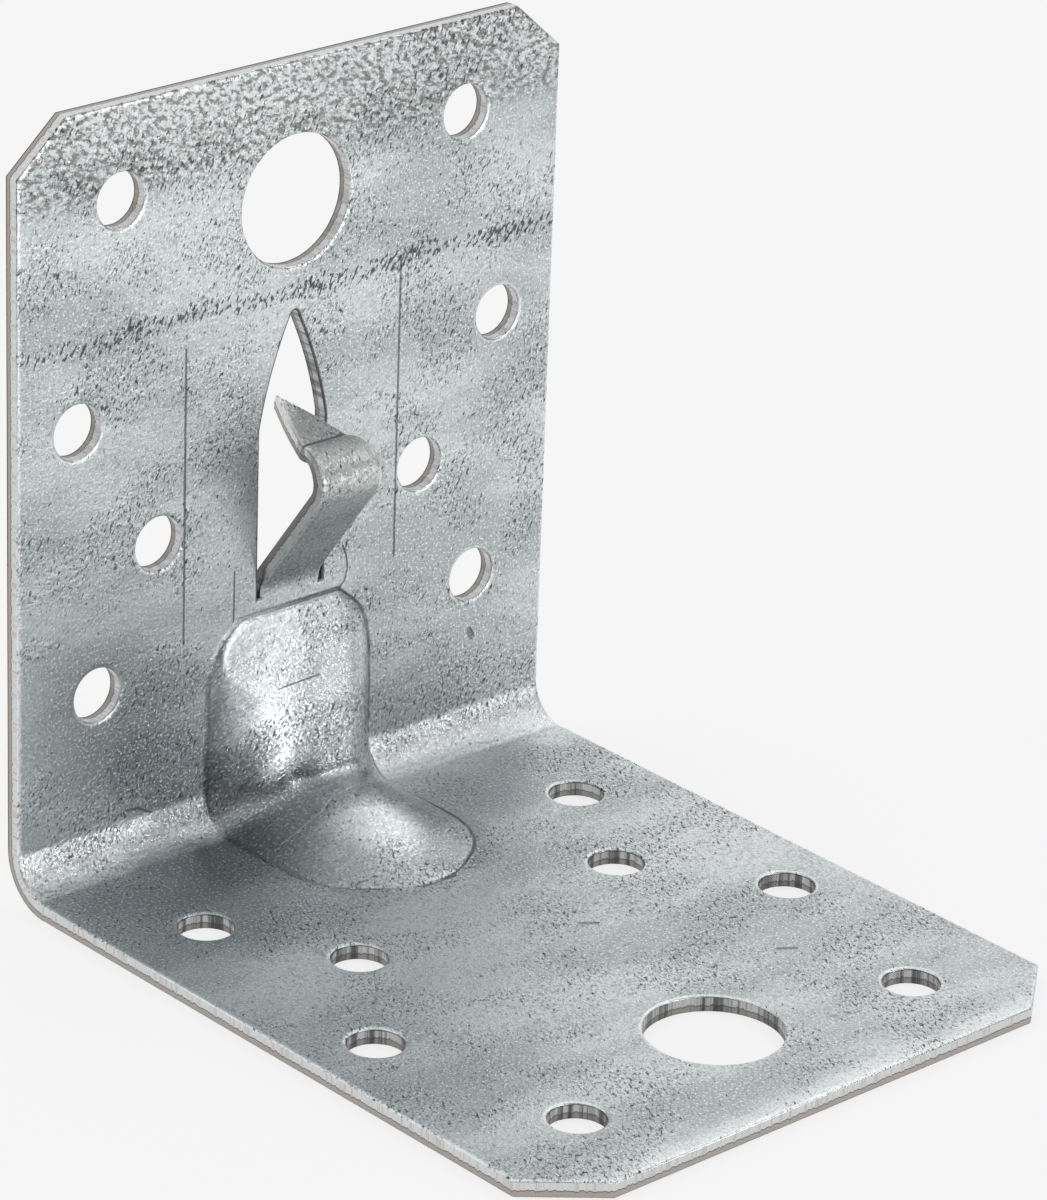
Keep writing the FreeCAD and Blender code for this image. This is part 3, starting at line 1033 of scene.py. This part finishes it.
        # The row of pits and the scuffed band stray by about a millimetre
        strayed = p.math("ADD", p.s, times(p.math("SUBTRACT", m["wander"], 0.5), 2.2))
        row = p.band(strayed, station(self.row_height), 0.35, 0.9)
        band = p.span(strayed, *map(station, self.scuff_heights))
        # Slanted pits, 0.3 mm wide and 0.6 mm long, and dull grit between them
        level = p.raised(m["pits"], ((row, 0.15), (band, 0.03), (patches, 0.09)))
        m["pits"] = p.span(level, 0.70, 0.80)
        m["grit"] = times(p.span(m["grit"], 0.50, 0.66), p.span(patches, 0, 1, 0.35, 1.0))
        # Dark scuffs of the top band, and bare bright ones
        m["smudge"] = times(p.span(m["blotch"], 0.48, 0.60), band)
        m["bare"] = times(p.span(m["blotch"], 0.34, 0.46, 1.0, 0.0), band)
        # The bend beside the bead, smoother and crazed, with a painted highlight along it
        plain = p.span(m["pressed"], 0.05, 0.3, 1.0, 0.0)
        m["bend"] = times(p.band(p.s, fold.bend_length / 2, 2.2, 1.0), plain)
        m["crazed"] = times(m["crazed"], m["bend"])
        m["polish"] = p.span(m["pressed"], 0.3, 1.6)
        # Painted highlights along the bend, every cut edge's roll-over and the free end of the
        # base
        end = p.math("ADD", p.s, times(m["end"], 3.0))
        m["painted_highlights"] = p.math(
            "MAXIMUM", times(m["bend"], 0.8), p.span(m["rim"], 0.10, 0.42, 0.8, 0.0),
            p.span(end, fold.base_end + 1.6, fold.base_end + 4.4, 0.8, 0.0),
        )
        # The crease along the foot of the bead, 0.25 mm wide: a groove, and painted shade that is
        # darker on the +X side; and painted shade along the slot's edge
        m["foot"] = times(
            p.band(m["foot"], -0.03, 0.10, 0.24),
            p.span(m["line"], 0.3, 0.6, 0.40, 1.0), p.span(p.x, -4.0, 3.0, 0.65, 1.0),
        )
        slot_edge_shade = times(
            p.band(p.x, 0.0, 4.1, 0.3), p.span(m["rim"], 0.14, 0.32, 1.0, 0.0),
            p.band(p.s, station(self.slot_edge_shade_height), 14.4, 0.6),
            p.math("SUBTRACT", 1.0, m["tongue"]),
        )
        m["crease_and_slot_shade"] = p.math("MAXIMUM", m["foot"], slot_edge_shade)
        # The tongue's crease, darkened with painted shade, and its flank
        crease = times(m["tongue"], p.band(p.s, sheet.tongue.crease, 0.10, 0.16))
        m["lines"] = p.math("MAXIMUM", m["lines"], crease)
        m["flank"] = times(m["tongue"], p.band(p.s, station(self.flank_height), 3.0, 4.0))
        m["cloud"] = p.span(m["cloud"], 0.36, 0.66)
        m["mottle"] = p.span(m["coarse"], 0.45, 0.75)
        m["glints"] = p.span(m["fine"], 0.55, 0.68)
        return m

    def make(self, sheet: "BracketSheet") -> Material:
        """Return the finished material, laid out by the bracket's sizes."""
        material, shader = new_material(self.name)
        p = Pattern(material.node_tree)
        m = self.masks(p, sheet)
        coats = [(getattr(self, ink), m[mask], share) for ink, mask, share in self.coats]
        rough = p.math("ADD", p.span(m["coarse"], 0.35, 0.7, -0.05, 0.08), self.roughness)
        rough = p.raised(rough, [(m[mask], weight) for mask, weight in self.roughs])
        relief = p.raised(m["rise"], [(m[mask], weight) for mask, weight in self.reliefs])
        join_metal(shader, p.coated(self.zinc, coats), rough, relief)
        return material


@dataclass(frozen=True)
class ShearedEdge:
    """Bare sheared steel under its zinc: a burnished land, then a torn dull band.

    It gives the holes and edges their bright rim and brown-grey core, and the walls of holes
    and the slot their painted shade.
    """

    name: str = "Sheared mild steel edge"
    land: str = "#d6d8d8"
    torn: str = "#b3ada8"
    gap: str = "#4f4a47"
    # The darkest colour is painted shade on the walls of holes and the slot
    shadow_ink: str = "#3f4344"

    def make(self) -> Material:
        """Return the finished material, banded by the depth in the sheet."""
        material, shader = new_material(self.name)
        p = Pattern(material.node_tree)
        streak = p.noise(0.35, 2.0, 0.6, (1, 1), 0, 6.1)
        stray = p.math("MULTIPLY", p.math("SUBTRACT", streak, 0.5), 0.5)
        edge = p.math("ADD", p.attribute("depth"), stray)
        torn = p.span(edge, 0.50, 0.62, 1.0, 0.0)
        # Painted shade on the walls of holes and the slot, in streaks about 1 mm wide, full in the
        # base's holes
        shadow = p.span(p.noise(0.9, 3.0, 0.7, (1, 1), 0, 3.6), 0.36, 0.60, 1.0, 0.35)
        colour = p.coated(self.land, (
            (self.torn, p.span(streak, 0.45, 0.75), 0.6),
            (self.torn, torn, 1.0),
            (self.shadow_ink, p.math("MULTIPLY", shadow, p.attribute("wall_shade")), 0.9),
            (self.gap, p.band(edge, 0.58, 0.02, 0.06), 0.8),
        ))
        rough = p.span(torn, 0, 1, 0.24, 0.50)
        relief = p.raised(p.math("MULTIPLY", streak, 0.05), ((torn, -0.03),))
        join_metal(shader, colour, rough, relief)
        return material


@dataclass
class Studio:
    """A pale floor, soft studio light and the photograph's camera."""

    floor_half: float = 1.5
    floor_colour: Colour = (0.82, 0.82, 0.82, 1.0)
    floor_roughness: float = 0.9
    glow: float = 0.78
    sky: float = 0.93
    dim: float = 0.03
    bright_way: Triple = (0.0, 0.86, 0.50)
    dusk: float = -0.45
    dawn: float = 0.55
    aim: Triple = (0.0, 0.0, 0.02)
    lens: float = 174.0
    eye: Triple = (-0.301417, -0.325146, 0.227884)
    turn: Triple = (1.155627, -0.032829, -0.728580)
    lamps: Tuple = (
        ("low front softbox", (0.30, -0.95, 0.12), 0.34, 0.20, 2.2),
        ("front left softbox", (-0.15, -0.92, 0.36), 0.22, 0.22, 0.6),
        ("front right softbox", (0.56, -0.46, 0.62), 0.15, 0.15, 0.85),
        ("rear right softbox", (0.60, 0.20, 0.72), 0.15, 0.15, 0.20),
    )

    def camera(self) -> None:
        """Set the camera at the photograph's viewing angle, without a lens shift."""
        data = bpy.data.cameras.new("camera")
        data.lens = self.lens
        data.clip_start = 0.01
        holder = bpy.data.objects.new("camera", data)
        holder.location = self.eye
        holder.rotation_euler = self.turn
        bpy.context.scene.collection.objects.link(holder)
        bpy.context.scene.camera = holder

    def floor(self) -> None:
        """Lay the plain floor."""
        bm = bmesh.new()
        bmesh.ops.create_grid(bm, x_segments=2, y_segments=2, size=self.floor_half)
        piece = to_object(bm, "floor")
        material, shader = new_material("Matt white card")
        tree = material.node_tree
        shader.inputs["Base Color"].default_value = self.floor_colour
        shader.inputs["Roughness"].default_value = self.floor_roughness
        path = add(tree, "ShaderNodeLightPath").outputs
        seen = joined(tree, "MAXIMUM", path["Is Camera Ray"], path["Is Glossy Ray"],
                      path["Is Transmission Ray"])
        share = joined(tree, "MULTIPLY", seen, self.glow)
        white = add(tree, "ShaderNodeEmission", {"Strength": 1.0, "Color": (1, 1, 1, 1)})
        mixed = add(tree, "ShaderNodeMixShader", {},
                    {0: share, 1: shader.outputs[0], 2: white.outputs[0]})
        tree.links.new(mixed.outputs[0], tree.nodes["Material Output"].inputs["Surface"])
        piece.data.materials.append(material)

    def lights(self) -> None:
        """Hang the soft lamps and set the even surroundings."""
        scene = bpy.context.scene
        world = bpy.data.worlds.new("studio")
        scene.world = world
        world.use_nodes = True
        tree = world.node_tree
        sight = add(tree, "ShaderNodeTexCoord")
        lift = add(tree, "ShaderNodeVectorMath", {"operation": "DOT_PRODUCT", 1: self.bright_way},
                   {0: sight.outputs["Generated"]})
        glow = add(tree, "ShaderNodeMapRange",
                   {"interpolation_type": "SMOOTHSTEP", 1: self.dusk, 2: self.dawn,
                    3: self.dim, 4: self.sky},
                   {0: lift.outputs["Value"]})
        path = add(tree, "ShaderNodeLightPath").outputs
        seen = joined(tree, "MAXIMUM", path["Is Camera Ray"], glow.outputs[0])
        ground = tree.nodes["Background"]
        ground.inputs["Color"].default_value = (1.0, 1.0, 1.0, 1)
        tree.links.new(seen, ground.inputs["Strength"])
        for name, place, wide, tall, power in self.lamps:
            data = bpy.data.lights.new(name, "AREA")
            data.shape = "RECTANGLE"
            data.size, data.size_y, data.energy = wide, tall, power
            lamp = bpy.data.objects.new(name, data)
            lamp.location = place
            way = Vector(self.aim) - Vector(place)
            lamp.rotation_euler = way.to_track_quat("-Z", "Y").to_euler()
            scene.collection.objects.link(lamp)

    def build(self) -> None:
        """Set the whole studio."""
        bpy.context.scene.view_settings.view_transform = "Standard"
        self.camera()
        self.floor()
        self.lights()


def main() -> None:
    """Build, dress and light the bracket."""
    bracket = BracketSheet()
    piece = bracket.build()
    bracket.dress(piece)
    LOG.info("bracket_sheet: %d faces", len(piece.data.polygons))
    Studio().build()


if __name__ == "__main__":
    main()
